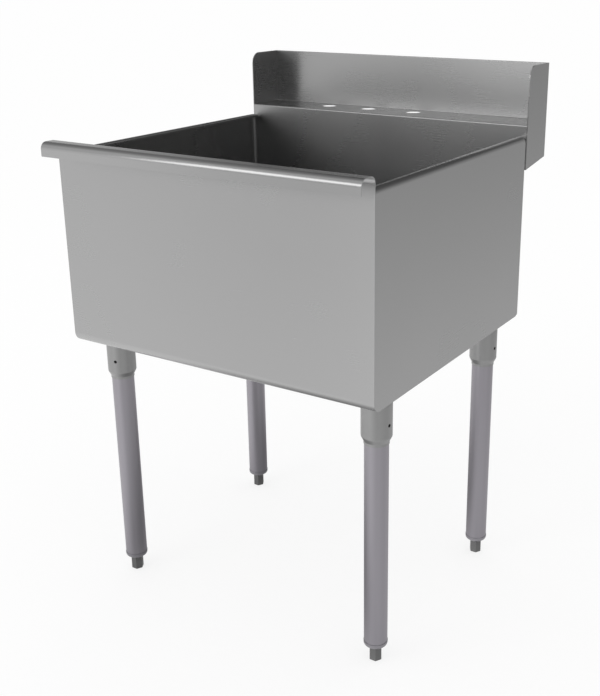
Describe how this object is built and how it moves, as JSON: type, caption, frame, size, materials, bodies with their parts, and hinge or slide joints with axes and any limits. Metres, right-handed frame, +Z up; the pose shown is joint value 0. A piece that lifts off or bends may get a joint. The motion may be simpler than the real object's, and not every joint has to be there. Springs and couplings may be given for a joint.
{
  "type": "utility laundry sink",
  "caption": "Free-standing stainless laundry sink with a deep square bowl, front roll, tap deck with splashback, basket strainer and four tubular legs with screw feet.",
  "frame": {"origin": "on the floor, below the middle of the sink's box", "axes": "+Z up, +Y towards the splashback and the wall, +X to the right of the person at the sink"},
  "size_m": [0.635, 0.692, 0.9805],
  "materials": {
    "sheet_steel": "satin, fine grain",
    "leg_steel": "satin",
    "socket_metal": "satin",
    "pad_steel": "mill finish",
    "foot_metal": "satin",
    "screw_steel": "blackened",
    "drain_steel": "polished",
    "drain_chrome": "bright plated",
    "nut_metal": "as cast",
    "black_rubber": "moulded",
    "fibre": "pressed fibre"
  },
  "bodies": {
    "sink": {"bowl_sheet": "sheet_steel", "deck_splash": "sheet_steel", "side_panel_left": "sheet_steel", "side_panel_right": "sheet_steel", "splash_end_left": "sheet_steel", "splash_end_right": "sheet_steel", "socket_pad_front_left": "pad_steel", "leg_socket_front_left": "socket_metal", "leg_tube_front_left": "leg_steel", "foot_insert_front_left": "foot_metal", "socket_pad_front_right": "pad_steel", "leg_socket_front_right": "socket_metal", "leg_tube_front_right": "leg_steel", "foot_insert_front_right": "foot_metal", "socket_pad_back_left": "pad_steel", "leg_socket_back_left": "socket_metal", "leg_tube_back_left": "leg_steel", "foot_insert_back_left": "foot_metal", "socket_pad_back_right": "pad_steel", "leg_socket_back_right": "socket_metal", "leg_tube_back_right": "leg_steel", "foot_insert_back_right": "foot_metal", "set_screws": "screw_steel", "strainer_body": "drain_steel", "drain_gasket": "black_rubber", "tailpiece_washer": "black_rubber", "fibre_washer": "fibre", "locknut": "nut_metal", "coupling_nut": "drain_chrome", "tailpiece": "drain_chrome"},
    "basket": {"strainer_basket": "drain_steel", "basket_post": "drain_steel", "basket_stopper": "black_rubber"},
    "foot_front_left": {"foot_front_left": "foot_metal"},
    "foot_front_right": {"foot_front_right": "foot_metal"},
    "foot_back_left": {"foot_back_left": "foot_metal"},
    "foot_back_right": {"foot_back_right": "foot_metal"}
  },
  "joints": [
    {"name": "basket_lift", "type": "slide", "parent": "sink", "child": "basket", "axis": [0, 0, 1], "range_m": [0, 0.55]},
    {"name": "foot_screw_front_left", "type": "slide", "parent": "sink", "child": "foot_front_left", "axis": [0, 0, -1], "range_m": [0, 0.025]},
    {"name": "foot_screw_front_right", "type": "slide", "parent": "sink", "child": "foot_front_right", "axis": [0, 0, -1], "range_m": [0, 0.025]},
    {"name": "foot_screw_back_left", "type": "slide", "parent": "sink", "child": "foot_back_left", "axis": [0, 0, -1], "range_m": [0, 0.025]},
    {"name": "foot_screw_back_right", "type": "slide", "parent": "sink", "child": "foot_back_right", "axis": [0, 0, -1], "range_m": [0, 0.025]}
  ]
}
